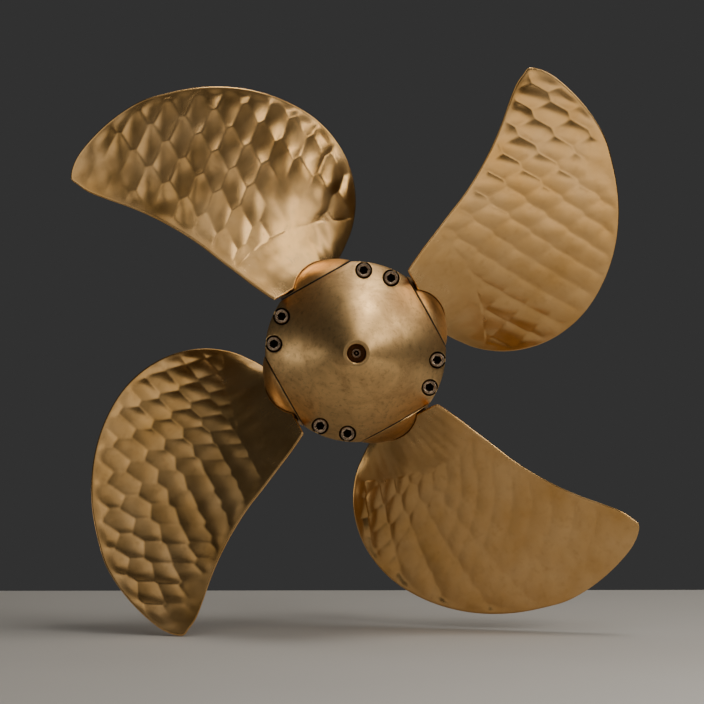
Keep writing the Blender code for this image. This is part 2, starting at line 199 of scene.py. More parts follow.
stained = blend(tree, carried(tree, stains, 0.52, 0.75, 0.0, 0.35), metal, "#a9804a")
streak_depth = reckon(tree, "MULTIPLY", streaks, near_root)
smooth = carried(tree, clouds, 0.3, 0.7, 0.19, 0.26)
bump = add_node(tree, "ShaderNodeBump", {
    "Height": streak_depth, "Strength": 0.12, "Distance": 0.0002})
drive(tree, shader, {
    "Base Color": stained,
    "Roughness": reckon(tree, "MULTIPLY_ADD", streak_depth, 0.05, smooth),
    "Normal": bump.outputs["Normal"]})
print("nodes in the milled bronze:", len(tree.nodes))

# %% [markdown]
# ## Bronze from the lathe
#
# The hub's cap and the blades' feet are turned. Handling has left brown patches and specks on
# them, and the colour goes browner towards the lower right of the cap. Painted shade darkens the
# colour in the counterbores, in the nose hole and along the feet. The ambient occlusion node finds
# those places, because it tells how much of its surroundings a point is shut off from.

# %% Turned bronze: its colour
SMEAR_MM, SCUFF_MM, RECESS_SHADE_MM = 34, 6, 5
LOWER_RIGHT = (0.62, 0.78, 0)
turned_bronze, tree, shader = new_material(
    "turned_nickel_aluminium_bronze", "#d4a566", 1.0, 0.34)
place = own_place(tree)
smears = noise(tree, place, SMEAR_MM, 5.0, Roughness=0.62, Distortion=0.6)
scuffs = noise(tree, place, SCUFF_MM, 5.0, Roughness=0.7)
# The colour goes browner towards the lower right of the cap.
toward_lower_right = add_node(tree, "ShaderNodeVectorMath", {0: place, 1: LOWER_RIGHT}, operation="DOT_PRODUCT")
lower_right_share = carried(tree, toward_lower_right.outputs["Value"], -0.05, 0.08, 0.0, 0.14)
cloudy = reckon(tree, "ADD", smears, lower_right_share)
patchy_tone = blend(tree, carried(tree, cloudy, 0.45, 0.76, 0.0, 0.65), "#e2b97e", "#9a7850")
speckled = blend(tree, carried(tree, scuffs, 0.52, 0.74, 0.0, 0.55), patchy_tone, "#7f5f3a")
# Painted shade: the colour goes dark brown in recesses, where the ambient occlusion is low.
corner = add_node(tree, "ShaderNodeAmbientOcclusion", {"Distance": RECESS_SHADE_MM / 1000}, samples=6)
painted_recess_shade = carried(tree, corner.outputs["AO"], 0.35, 0.85, 0.92, 0.0)
drive(tree, shader, {"Base Color": blend(tree, painted_recess_shade, speckled, "#2e1d0f")})
print("nodes in its colour:", len(tree.nodes))

# %% [markdown]
# ## The lathe's rings and the rubbing
#
# A turned surface is made of very fine rings round its axis. Rings spread the light across
# themselves, which draws a bright fan from the nose to the rim: that is what anisotropy does in
# the shader, with its tangent running round the axis. Real rings lie 0.3 mm apart and would not
# show, so the bump draws them 1.2 mm apart. Over them go the strokes of rubbing by hand. A hand
# goes one way for a palm's width and then another, so each Voronoi cell turns the strokes.

# %% Turned bronze: its relief
RING_MM, STROKE_MM, STROKE_LONG_MM, RUB_MM = 1.2, 1.6, 26, 24
shader.inputs["Anisotropic"].default_value = 0.5
flat, reach = from_axis(tree, place, "X", "Y")
rings = reckon(tree, "SINE", reckon(tree, "MULTIPLY", reach, 2 * math.pi * 1000 / RING_MM))
rubbed = add_node(tree, "ShaderNodeTexVoronoi", {
    "Vector": place, "Scale": 1000 / RUB_MM, "Randomness": 1.0}, feature="SMOOTH_F1")
rub_turn = reckon(tree, "MULTIPLY", rubbed.outputs["Color"], 9.0)
turned_place = add_node(tree, "ShaderNodeVectorRotate", {
    "Vector": flat, "Angle": rub_turn}, rotation_type="Z_AXIS")
drawn_out = add_node(tree, "ShaderNodeMapping", {
    "Vector": turned_place.outputs[0], "Scale": (1000 / STROKE_LONG_MM, 1000 / STROKE_MM, 1)})
strokes = noise(tree, drawn_out.outputs[0], 1000, 3.0, Roughness=0.6)
smooth = carried(tree, cloudy, 0.35, 0.8, 0.20, 0.36)
around = add_node(tree, "ShaderNodeTangent", {}, direction_type="RADIAL", axis="Z")
ring_bump = add_node(tree, "ShaderNodeBump", {"Height": rings, "Strength": 0.07, "Distance": 0.0002})
bump = add_node(tree, "ShaderNodeBump", {
    "Height": strokes, "Strength": 0.22, "Distance": 0.0003, "Normal": ring_bump.outputs["Normal"]})
drive(tree, shader, {
    "Roughness": reckon(tree, "MULTIPLY_ADD", strokes, 0.16, smooth),
    "Tangent": around.outputs["Tangent"],
    "Normal": bump.outputs["Normal"]})
print("nodes in the turned bronze:", len(tree.nodes))

# %% [markdown]
# ## Steel, dark bronze and rubber
#
# The screws and studs are stainless steel, A4, rolled and satin. The cap screws' sockets and the
# gap round their heads read as dark rings, which the second steel paints into its colour as
# painted shade: dark below the head's top and away from its axis, with dark specks over that. The
# plug in the nose is bronze that has gone brown, because nobody wipes a hole. The rings are nitrile
# rubber: matt and black, with a little grey dust.

# %% Small parts' materials
SPECK_MM, TARNISH_MM, DUST_MM = 2.5, 3, 4
SOCKET_SHADE_FULL_TO, SOCKET_SHADE_ENDS_AT, HEAD_UNSHADED_TO, GAP_SHADE_FULL_FROM = 0.0100, 0.0113, 0.0080, 0.0088
satin_steel, tree, shader = new_material("satin_stainless_steel", "#c2ab98", 1.0, 0.28)
specks = noise(tree, own_place(tree), SPECK_MM, 3.0)
drive(tree, shader, {
    "Base Color": blend(tree, carried(tree, specks, 0.45, 0.75, 0.0, 0.6), "#c8b29f", "#7d5f49"),
    "Roughness": carried(tree, specks, 0.0, 1.0, 0.2, 0.42)})

steel_with_painted_shade, tree, shader = new_material("stainless_steel_painted_shade", "#b59c86", 1.0, 0.28)
place = own_place(tree)
height = add_node(tree, "ShaderNodeSeparateXYZ", {"Vector": place}).outputs["Z"]
reach = from_axis(tree, place, "X", "Y")[1]
# Painted shade: dark inside the socket below the head's top, and dark round the head away from its axis.
socket_shade = carried(tree, height, SOCKET_SHADE_FULL_TO, SOCKET_SHADE_ENDS_AT, 1.0, 0.0)
gap_shade = carried(tree, reach, HEAD_UNSHADED_TO, GAP_SHADE_FULL_FROM, 0.0, 1.0)
specks = carried(tree, noise(tree, place, SPECK_MM, 3.0), 0.42, 0.72, 0.0, 0.7)
shade_and_specks = reckon(tree, "MAXIMUM", reckon(tree, "MAXIMUM", socket_shade, gap_shade), specks)
drive(tree, shader, {
    "Base Color": blend(tree, shade_and_specks, "#c4ab92", "#1d130b"),
    "Roughness": carried(tree, shade_and_specks, 0.0, 1.0, 0.24, 0.6)})

brown_bronze, tree, shader = new_material("tarnished_bronze", "#6b4526", 1.0, 0.42)
tarnish = noise(tree, own_place(tree), TARNISH_MM, 3.0)
drive(tree, shader, {"Base Color": blend(tree, tarnish, "#83572f", "#3f2614")})

nitrile_rubber, tree, shader = new_material("nitrile_rubber", "#15130f", 0.0, 0.6)
shader.inputs["IOR"].default_value = 1.52
dust = noise(tree, own_place(tree), DUST_MM, 2.0)
drive(tree, shader, {"Base Color": blend(tree, dust, "#0f0d0b", "#2b2620")})
print("small parts:", [m.name for m in (satin_steel, steel_with_painted_shade, brown_bronze, nitrile_rubber)])

# %% [markdown]
# ## Solids made by turning and cutting
#
# Nearly everything on a hub comes off a lathe: a profile of (radius, height) points, carried
# round an axis. What isn't round is then milled away, which in Blender is a Boolean difference.
# The result of the Booleans is kept as the piece's own mesh, so nothing is left to compute later.

# %% Turning, cutting and finishing
def put(name, mesh, material, place):
    """An object for a finished mesh."""
    made = bpy.data.objects.new(name, mesh)
    bpy.context.scene.collection.objects.link(made)
    mesh.materials.clear()
    mesh.materials.append(material)
    made.matrix_world = place
    return made


def turned(name, profile, sides):
    """A closed solid turned about Z from (radius, height) points."""
    work = bmesh.new()
    rows = []
    for radius, height in profile:
        turns = [0.0] if radius == 0 else [2 * math.pi * i / sides for i in range(sides)]
        rows.append([work.verts.new((radius * math.cos(t), radius * math.sin(t), height))
                     for t in turns])
    ring_shaped = len(rows[0]) > 1 and len(rows[-1]) > 1
    for low, high in list(zip(rows, rows[1:])) + ([(rows[-1], rows[0])] if ring_shaped else []):
        for i in range(sides):
            j = i + 1
            corners = [low[i % len(low)], low[j % len(low)], high[j % len(high)], high[i % len(high)]]
            work.faces.new(dict.fromkeys(corners))
    bmesh.ops.recalc_face_normals(work, faces=work.faces)
    mesh = bpy.data.meshes.new(name)
    work.to_mesh(mesh)
    work.free()
    return mesh


def finish_edges(piece, cutters, bevel, sharp_deg=32):
    """Cuts the piece, breaks its sharp edges, and keeps the result as its own mesh."""
    for cutter in cutters:
        step = piece.modifiers.new("cut", "BOOLEAN")
        step.operation, step.solver, step.object = "DIFFERENCE", "EXACT", cutter
    if bevel:
        broken = piece.modifiers.new("break", "BEVEL")
        broken.width, broken.segments, broken.limit_method = bevel, 2, "ANGLE"
        broken.angle_limit = math.radians(sharp_deg)
        broken.miter_outer = "MITER_ARC"
    bpy.context.view_layer.update()
    graph = bpy.context.evaluated_depsgraph_get()
    mesh = bpy.data.meshes.new_from_object(piece.evaluated_get(graph))
    piece.modifiers.clear()
    piece.data = mesh
    mesh.shade_smooth()
    mesh.set_sharp_from_angle(angle=math.radians(sharp_deg))
    return piece


def cone_profile(steps):
    """(radius, distance) from the rim to the nose: a shallow curve bulging from a cone."""
    shares = [i / steps for i in range(steps + 1)]
    bulges = [4 * s * (1 - s) * CONE_BULGE for s in shares]
    return [(HUB_RADIUS + (NOSE_RADIUS - HUB_RADIUS) * s + b, RIM_AT + (NOSE_AT - RIM_AT) * s + b)
            for s, b in zip(shares, bulges)]


print("the cap's profile has", len(cone_profile(28)), "points")

# %% [markdown]
# ## What cuts the hub
#
# The hub is split at the spindles, so that each half holds half of every blade's bearing. Four
# flats are milled where the feet sit, and eight counterbores take the cap screws. The counterbores
# break through the rim, which shows from the side. Each cut is a solid of its own, longer than it
# has to be, because a Boolean is surest where no two faces lie in one plane.

# %% Sizes and cutters of the hub
JOURNAL_RADIUS, COLLAR_RADIUS, COLLAR_FROM, COLLAR_TO, JOURNAL_END = 0.030, 0.042, 0.070, 0.082, 0.062
RUNNING_GAP, HUB_SIDES = 0.0004, 192
SCREW_PITCH_RADIUS, SCREW_FLOOR_AT, SHANK_LENGTH = 0.104, SPINDLE_AT + 0.044, 0.060
COUNTERBORE_RADIUS, SHANK_RADIUS = 0.011, 0.0059
SLAB_WIDTH, SLAB_LENGTH, SLAB_HEIGHT, CUT_PAST = 0.24, 0.5, 0.03, 0.02
screw_degs = [FIRST_SPINDLE_DEG + 90 * i + 45 + side for i in range(BLADE_COUNT) for side in (-10, 10)]


def journal_profile(gap):
    """(radius, height) along the spindle of the journal and its collar."""
    inner, thick = JOURNAL_RADIUS + gap, COLLAR_RADIUS + gap
    return [(0, JOURNAL_END - gap), (inner, JOURNAL_END - gap), (inner, COLLAR_FROM - gap),
            (thick, COLLAR_FROM - gap), (thick, COLLAR_TO + gap), (inner, COLLAR_TO + gap)]


def cutter(name, profile, sides, place):
    """A turned solid that only cuts."""
    made = put(name, turned(name, profile, sides), satin_steel, place)
    made.hide_render = True
    return made


def slab_on_spindle(index):
    """What the mill takes off the hub above one flat."""
    work = bmesh.new()
    bmesh.ops.create_cube(work, size=1)
    mesh = bpy.data.meshes.new("cut_flat")
    work.to_mesh(mesh)
    work.free()
    size = Matrix.Diagonal((SLAB_WIDTH, SLAB_LENGTH, SLAB_HEIGHT, 1))
    middle = Matrix.Translation((0, 0, FLAT_AT + SLAB_HEIGHT / 2))
    made = put("cut_flat", mesh, satin_steel, on_spindle(index) @ middle @ size)
    made.hide_render = True
    return made


bearing = journal_profile(RUNNING_GAP)
bearing += [(JOURNAL_RADIUS + RUNNING_GAP, FLAT_AT + CUT_PAST), (0, FLAT_AT + CUT_PAST)]
shank_end = SCREW_FLOOR_AT - SHANK_LENGTH - 0.002
hole_radius = SHANK_RADIUS + SEAT_GAP
screw_hole = [(0, shank_end), (hole_radius, shank_end), (hole_radius, SCREW_FLOOR_AT),
              (COUNTERBORE_RADIUS, SCREW_FLOOR_AT), (COUNTERBORE_RADIUS, NOSE_AT), (0, NOSE_AT)]
shared_cuts = [slab_on_spindle(i) for i in range(BLADE_COUNT)]
shared_cuts += [cutter("cut_bearing", bearing, 64, on_spindle(i)) for i in range(BLADE_COUNT)]
shared_cuts += [cutter("cut_screw", screw_hole, 48, along_shaft(0, SCREW_PITCH_RADIUS, deg))
                for deg in screw_degs]
print("cuts in both halves:", len(shared_cuts))

# %% [markdown]
# ## The flange's holes
#
# Only the forward half has these: eight holes for the studs, two for the dowels, and a groove for
# the O-ring. They are on the side that the shaft covers, made as such hubs are.

# %% Sizes and cutters of the flange
FLANGE_RADIUS, FLANGE_TO, BARREL_FROM = 0.090, 0.010, 0.040
STUD_RADIUS, STUD_PITCH_RADIUS, STUD_STANDS, STUD_SUNK = 0.0069, 0.075, 0.034, 0.022
DOWEL_RADIUS, DOWEL_PITCH_RADIUS, DOWEL_STANDS, DOWEL_SUNK = 0.006, 0.045, 0.010, 0.012
O_RING_RADIUS, O_RING_SECTION = 0.060, 0.002
PAST_THE_FACE = 0.01
stud_degs, dowel_degs = [45 * (i + 0.5) for i in range(8)], (0, 180)


def cylinder(radius, low, high):
    """(radius, height) of a plain cylinder."""
    return [(0, low), (radius, low), (radius, high), (0, high)]


flange_cuts = []
for name, radius, sunk, pitch_radius, degs in (
        ("cut_stud", STUD_RADIUS, STUD_SUNK, STUD_PITCH_RADIUS, stud_degs),
        ("cut_dowel", DOWEL_RADIUS, DOWEL_SUNK, DOWEL_PITCH_RADIUS, dowel_degs)):
    hole = cylinder(radius + SEAT_GAP, -PAST_THE_FACE, sunk)
    flange_cuts += [cutter(name, hole, 32, along_shaft(0, pitch_radius, deg)) for deg in degs]
half_groove = O_RING_SECTION + SEAT_GAP
inner, outer, groove_floor = O_RING_RADIUS - half_groove, O_RING_RADIUS + half_groove, 2 * O_RING_SECTION
flange_cuts.append(cutter("cut_groove", [
    (inner, -PAST_THE_FACE), (outer, -PAST_THE_FACE), (outer, groove_floor), (inner, groove_floor)],
    96, along_shaft()))
print("cuts in the flange:", len(flange_cuts))

# %% [markdown]
# ## The hub's two halves
#
# Each half is one turned solid with its cuts taken out. A real fitter breaks each sharp edge with
# a file: a bevel of 0.4 mm does that here, and it draws the bright line along each flat.

# %% Hub halves
NOSE_BORE_RADIUS, NOSE_BORE_DEPTH, NOSE_CHAMFER, FILED_EDGE = 0.0118, 0.024, 0.0010, 0.0004
split = SEAT_GAP / 2
aft_profile = [(0, SPINDLE_AT + split), (HUB_RADIUS, SPINDLE_AT + split)] + cone_profile(28) + [
    (NOSE_BORE_RADIUS + NOSE_CHAMFER, NOSE_AT), (NOSE_BORE_RADIUS, NOSE_AT - NOSE_CHAMFER),
    (NOSE_BORE_RADIUS, NOSE_AT - NOSE_BORE_DEPTH), (0, NOSE_AT - NOSE_BORE_DEPTH)]
fore_profile = [(0, 0), (FLANGE_RADIUS, 0), (FLANGE_RADIUS, FLANGE_TO), (HUB_RADIUS, BARREL_FROM),
                (HUB_RADIUS, SPINDLE_AT - split), (0, SPINDLE_AT - split)]
for name, profile, cuts, node in (
        ("hub_cap", aft_profile, shared_cuts, "hub_aft_half"),
        ("hub_body", fore_profile, shared_cuts + flange_cuts, "hub_fore_half")):
    blank = put(name, turned(name, profile, HUB_SIDES), turned_bronze, along_shaft())
    piece = finish_edges(blank, cuts, FILED_EDGE)
    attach(piece, "hub")
    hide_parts(node)
    print(piece.name, "has", sum(len(p.vertices) - 2 for p in piece.data.polygons), "triangles")
for used in shared_cuts + flange_cuts:
    bpy.data.objects.remove(used)

# %% [markdown]
# ## Cap screws
#
# Socket head screws, M12: a head with a rounded top edge, a shallow turned dish round the socket,
# and a six-sided socket with a drilled point at its bottom. They are lathe work again, with the
# hexagon cut in. One mesh serves all eight, each turned a little differently, as screws are.

# %% Cap screws
HEAD_RADIUS, HEAD_HEIGHT, SOCKET_ACROSS, SOCKET_DEPTH, DISH_DEPTH = 0.009, 0.012, 0.010, 0.006, 0.0006
NEXT_SCREW_DEG = 37


def hex_cutter(low, high):
    """A six-sided bar of the socket's width, with a cone at its lower end."""
    corner = SOCKET_ACROSS / math.sqrt(3)
    return turned("cut_socket", [
        (0, low - 0.0022), (corner * 0.86, low), (corner, low), (corner, high), (0, high)], 6)


def round_corner(radius, height, size, steps):
    """Points of a rounded outer corner, from the side up to the top."""
    turns = [math.pi / 2 * i / steps for i in range(steps + 1)]
    return [(radius - size + size * math.cos(t), height - size + size * math.sin(t)) for t in turns]


screw_profile = [(0, -SHANK_LENGTH), (SHANK_RADIUS - 0.001, -SHANK_LENGTH),
                 (SHANK_RADIUS, 0.001 - SHANK_LENGTH), (SHANK_RADIUS, 0), (HEAD_RADIUS, 0)]
screw_profile += round_corner(HEAD_RADIUS, HEAD_HEIGHT, 0.0011, 5) + [
    (SOCKET_ACROSS * 0.66, HEAD_HEIGHT - 0.0001), (SOCKET_ACROSS * 0.62, HEAD_HEIGHT - DISH_DEPTH),
    (0, HEAD_HEIGHT - DISH_DEPTH)]
first_place = along_shaft(SCREW_FLOOR_AT + SEAT_GAP, SCREW_PITCH_RADIUS, screw_degs[0])
blank = put("screw_blank", turned("cap_screw", screw_profile, 48), steel_with_painted_shade, first_place)
hexagon = hex_cutter(HEAD_HEIGHT - SOCKET_DEPTH, HEAD_HEIGHT + 0.01)
bar = put("cut_socket", hexagon, satin_steel, first_place)
screw_mesh = finish_edges(blank, [bar], 0.00012).data
bpy.data.objects.remove(bar)
bpy.data.objects.remove(blank)
for number, deg in enumerate(screw_degs, 1):
    seat = along_shaft(SCREW_FLOOR_AT + SEAT_GAP, SCREW_PITCH_RADIUS, deg)
    turn = Matrix.Rotation(math.radians(NEXT_SCREW_DEG * number), 4, "Z")
    screw = put(f"screw_{number}", screw_mesh, steel_with_painted_shade, seat @ turn)
    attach(screw, "hub")
    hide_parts(f"cap_screw_{number}")
print("cap screws:", len(screw_degs))

# %% [markdown]
# ## The nose hole
#
# A bronze plug with a raised ring sits at the bottom of the hole, and a steel grease nipple stands
# in its middle. Both are turned, with rounded corners that catch a ring of light.

# %% Plug and nipple
PLUG_RADIUS, PLUG_HEIGHT, PLUG_RIM_HEIGHT = 0.0112, 0.009, 0.0015
PLUG_RIM_OUTER, PLUG_RIM_INNER, PLUG_HOLE = 0.0092, 0.0072, 0.0059
NIPPLE_RADIUS, NIPPLE_HEIGHT, NIPPLE_MOUTH, NIPPLE_BALL = 0.0055, 0.013, 0.0034, 0.0012
plug_top, ball_at = PLUG_HEIGHT + PLUG_RIM_HEIGHT, NIPPLE_HEIGHT - 0.003
plug_profile = [(PLUG_HOLE, 0), (PLUG_RADIUS, 0)] + round_corner(PLUG_RADIUS, PLUG_HEIGHT, 0.0005, 3) + [
    (PLUG_RIM_OUTER, PLUG_HEIGHT)] + round_corner(PLUG_RIM_OUTER, plug_top, 0.0006, 3) + [
    (PLUG_RIM_INNER + 0.0004, plug_top), (PLUG_RIM_INNER, plug_top - 0.0004),
    (PLUG_RIM_INNER, PLUG_HEIGHT), (PLUG_HOLE, PLUG_HEIGHT)]
nipple_profile = [(0, 0), (NIPPLE_RADIUS, 0)] + round_corner(NIPPLE_RADIUS, NIPPLE_HEIGHT, 0.001, 4) + [
    (NIPPLE_MOUTH + 0.0003, NIPPLE_HEIGHT), (NIPPLE_MOUTH, NIPPLE_HEIGHT - 0.0003),
    (NIPPLE_MOUTH, ball_at), (NIPPLE_BALL, ball_at)] + [
    (NIPPLE_BALL * math.cos(t), ball_at + NIPPLE_BALL * math.sin(t)) for t in (0.4, 0.8, 1.2)] + [
    (0, ball_at + NIPPLE_BALL)]
floor_at = NOSE_AT - NOSE_BORE_DEPTH + SEAT_GAP
for name, profile, material, node, slot in (
        ("plug", plug_profile, brown_bronze, "nose_plug", "plug_bronze"),
        ("nipple", nipple_profile, steel_with_painted_shade, "grease_nipple", "screw_steel")):
    piece = finish_edges(put(name, turned(name, profile, 64), material, along_shaft(floor_at)), [], 0)
    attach(piece, "hub")
    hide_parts(node)
    print(piece.name, "box", [round(v, 4) for v in piece.dimensions])

# %% [markdown]
# ## Fittings of the flange
#
# Eight studs draw the hub to the shaft's flange and two dowels locate it. The studs are M14 with
# rolled thread: the thread is modelled as real ridges, 2 mm apart, by moving the radius in and out
# along the stud.

# %% Studs and dowels
THREAD_PITCH, THREAD_DEPTH = 0.002, 0.0009


def threaded_profile(radius, low, high, pitch, depth):
    """A shaft with round ridges like a thread's, from one height to another."""
    count = int((high - low) / (pitch / 6))
    points = []
    for i in range(count + 1):
        height = low + (high - low) * i / count
        wave = 0.5 + 0.5 * math.cos(2 * math.pi * (height - low) / pitch)
        points.append((radius - depth * (1 - wave), height))
    return points


stud_profile = [(0, -STUD_STANDS), (STUD_RADIUS - 0.0016, -STUD_STANDS)] + threaded_profile(
    STUD_RADIUS, -STUD_STANDS + 0.0012, -0.006, THREAD_PITCH, THREAD_DEPTH) + [
    (STUD_RADIUS, -0.0055), (STUD_RADIUS, STUD_SUNK - SEAT_GAP), (0, STUD_SUNK - SEAT_GAP)]
dowel_profile = [(0, -DOWEL_STANDS), (DOWEL_RADIUS - 0.0018, -DOWEL_STANDS),
                 (DOWEL_RADIUS - 0.0004, 0.0022 - DOWEL_STANDS), (DOWEL_RADIUS, 0.003 - DOWEL_STANDS),
                 (DOWEL_RADIUS, DOWEL_SUNK - SEAT_GAP), (0, DOWEL_SUNK - SEAT_GAP)]
for name, profile, pitch_radius, degs in (
        ("flange_stud", stud_profile, STUD_PITCH_RADIUS, stud_degs),
        ("flange_dowel", dowel_profile, DOWEL_PITCH_RADIUS, dowel_degs)):
    mesh = turned(name, profile, 32)
    mesh.shade_smooth()
    mesh.set_sharp_from_angle(angle=math.radians(40))
    for number, deg in enumerate(degs, 1):
        piece = put(f"{name}_turned_{number}", mesh, satin_steel, along_shaft(0, pitch_radius, deg))
        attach(piece, "hub")
        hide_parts(f"{name}_{number}")
print("ridges on a stud:", int((STUD_STANDS - 0.007) / THREAD_PITCH))

# %% [markdown]
# ## Rubber rings
#
# An O-ring seals the flange, and a flat seal lies round each blade's foot, where it draws the dark
# line between the foot and its flat. A soft ring is turned too: its profile is a closed section
# that doesn't touch the axis, so the solid closes on itself.

# %% O-ring and foot seals
SEAL_INNER, SEAL_OUTER, SEAL_LOW, SEAL_HIGH = 0.0402, 0.0500, 0.1029, 0.1041
section_turns = [i * math.pi / 8 for i in range(16)]
ring_section = [(O_RING_RADIUS + O_RING_SECTION * math.cos(t),
                 O_RING_SECTION - SEAT_GAP + O_RING_SECTION * math.sin(t)) for t in section_turns]
blank = put("o_ring", turned("o_ring", ring_section, 120), nitrile_rubber, along_shaft())
o_ring = finish_edges(blank, [], 0)
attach(o_ring, "hub")
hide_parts("flange_o_ring")
seal = [(SEAL_INNER, SEAL_LOW), (SEAL_OUTER, SEAL_LOW), (SEAL_OUTER, SEAL_HIGH), (SEAL_INNER, SEAL_HIGH)]
for index in range(BLADE_COUNT):
    blank = put(f"seal_{index + 1}", turned("seal", seal, 96), nitrile_rubber, on_spindle(index))
    piece = finish_edges(blank, [], 0.0003)
    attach(piece, "hub")
    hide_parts(f"foot_seal_{index + 1}")
print("a seal is", round((SEAL_OUTER - SEAL_INNER) * 1000, 1), "mm wide")

# %% [markdown]
# ## The blade's outline and sections
#
# A blade is a stack of sections, each lying on a cylinder about the shaft. A section's pitch face
# follows the helix, and its thickness stands off that at right angles. The outline is given by the
# angles of its two edges from the spindle at shares of the radius, and a curve runs through them.
# NumPy works out a whole grid of points at once, which keeps this quick at a grid of about 1.7 mm.

# %% Outline and section functions
RADII = (0.23, 0.28, 0.31, 0.36, 0.42, 0.48, 0.55, 0.62, 0.70, 0.78, 0.85, 0.91, 0.95, 0.98, 1.0)
LEADING_DEG = (12.0, 19.6, 23.6, 27.8, 29.7, 29.7, 28.1, 25.2, 20.4, 13.8, 6.7, -0.8, -6.9, -12.1, -24.3)
TRAILING_DEG = (28.0, 28.0, 28.0, 27.7, 27.1, 26.7, 26.2, 26.3, 26.9, 27.9, 29.0, 29.7, 29.6, 29.1, 24.3)
ROOT_SHARE, ROOT_CUT, ROOT_THICK, TIP_THICK, THICK_POWER = 0.235, 0.1078, 0.032, 0.005, 1.15
EDGE_THICK_ROOT, EDGE_THICK_TIP = 0.0036, 0.0022


def curve_through(places, values, at):
    """A smooth curve through the points, with each slope taken from its two neighbours."""
    places, values = np.array(places), np.array(values)
    count = np.arange(len(places))
    before, after = np.maximum(count - 1, 0), np.minimum(count + 1, len(places) - 1)
    slopes = (values[after] - values[before]) / (places[after] - places[before])
    i = np.clip(np.searchsorted(places, at, side="right") - 1, 0, len(places) - 2)
    width = places[i + 1] - places[i]
    t = (at - places[i]) / width
    return (values[i] * (1 + 2 * t) * (1 - t) ** 2 + slopes[i] * width * t * (1 - t) ** 2
            + values[i + 1] * t * t * (3 - 2 * t) + slopes[i + 1] * width * t * t * (t - 1))


def edge_angles(share):
    """Angles of the two edges from the spindle, in radians, at shares of the radius."""
    places = np.sqrt(np.maximum(0, 1 - np.array(RADII[::-1])))
    at = np.sqrt(np.maximum(0, 1 - share))
    return (-np.radians(curve_through(places, LEADING_DEG[::-1], at)),
            np.radians(curve_through(places, TRAILING_DEG[::-1], at)))


def on_section(share, along, off):
    """Points at shares of the radius and of the chord, off the helix towards aft, as (..., 3)."""
    radius = share * PROPELLER_RADIUS
    leading, trailing = edge_angles(share)
    slope = np.arctan2(PITCH / (2 * math.pi), radius)
    turn = leading + (trailing - leading) * along
    aft = PITCH / (2 * math.pi) * turn + off * np.cos(slope)
    turn = turn - off * np.sin(slope) / radius
    return np.stack([-radius * np.sin(turn), -aft, radius * np.cos(turn)], axis=-1)


chord_turn = float(np.ptp(edge_angles(np.array([0.7])), axis=0)[0])
print("chord at 0.7 of the radius:", round(chord_turn * 0.7 * PROPELLER_RADIUS, 3), "m round the arc")

# %% [markdown]
# ## Where the mill's marks lie
#
# The mill leaves its marks in slanted rows: shallow crowned pads of about 28 mm by 30 mm, with a
# crease between one and the next. They are what gives this propeller its look, so they are real
# relief here and not a picture. The pads' centres lie on a lattice, which bends and opens a little
# towards the tip. Each face has its own lattice, slant and height of crown, because the blades
# were milled one by one. The backs aren't in the photo, and all carry the same plain lattice.

# %% Lattices of the pads
LATTICES = (
    {"origin": (-0.05216, 0.30629), "down": (0.00825, -0.02808), "across": (0.03049, 0.0146),
     "shear": (-0.00046, 0.0003), "bend_down": (5e-05, -7e-05), "bend_across": (-0.0001, 0.0004),
     "slant": (0.94, -0.52), "crowned": 8.0},
    {"origin": (-0.05114, 0.31723), "down": (0.00799, -0.02931), "across": (0.03247, 0.01776),
     "shear": (-0.00092, -0.0003), "bend_down": (0.00056, -0.00022), "bend_across": (-7e-05, 4e-05),
     "slant": (1.3, -0.59), "crowned": 7.5},
    {"origin": (-0.03361, 0.3134), "down": (0.00455, -0.02806), "across": (0.03025, -0.00073),
     "shear": (-0.00242, 0.00059), "bend_down": (-1e-05, -0.00011), "bend_across": (0.00085, 0.00032),
     "slant": (0.88, -0.45), "crowned": 11.5},
    {"origin": (-0.00095, 0.29766), "down": (0.00293, -0.02348), "across": (0.03545, -0.00092),
     "shear": (-0.00319, 0.00083), "bend_down": (-0.00025, -0.00035), "bend_across": (0.00068, 9e-05),
     "slant": (1.59, -0.78), "crowned": 9.5},
)
BACK_LATTICE = {
    "origin": (0, 0.3), "down": (0.005, -0.028), "across": (0.0315, 0.002),
    "shear": (0, 0), "bend_down": (0, 0), "bend_across": (0, 0),
    "slant": (1.0, -0.5), "crowned": 8.0}


def lattice_point(lattice, i, j):
    """Centre of the pad number i across and j down, in metres across and out along the blade."""
    terms = ((1, "origin"), (i, "across"), (j, "down"),
             (i * j, "shear"), (j * j, "bend_down"), (i * i, "bend_across"))
    return sum(np.multiply.outer(np.asarray(count, float), np.array(lattice[key], float))
               for count, key in terms)


print("pads down a row stand", round(math.hypot(*LATTICES[0]["down"]) * 1000), "mm apart")

# %% [markdown]
# ## The relief
#
# Each pad is a shallow mound, and the surface is the highest of all the mounds, which joins them
# without a step. A few rounds of Newton's method tell which pad a point is near. NumPy then tries
# the nine nearest centres and keeps the nearest one, in a measure of distance that is stretched
# along the slant. Taking off the median leaves the blade's mean thickness as it was. Grinding by
# hand adds an unevenness of its own: a sum of a few gentle waves, drawn from a seeded generator.

# %% Relief of the pads
PAD_REACH = 0.022


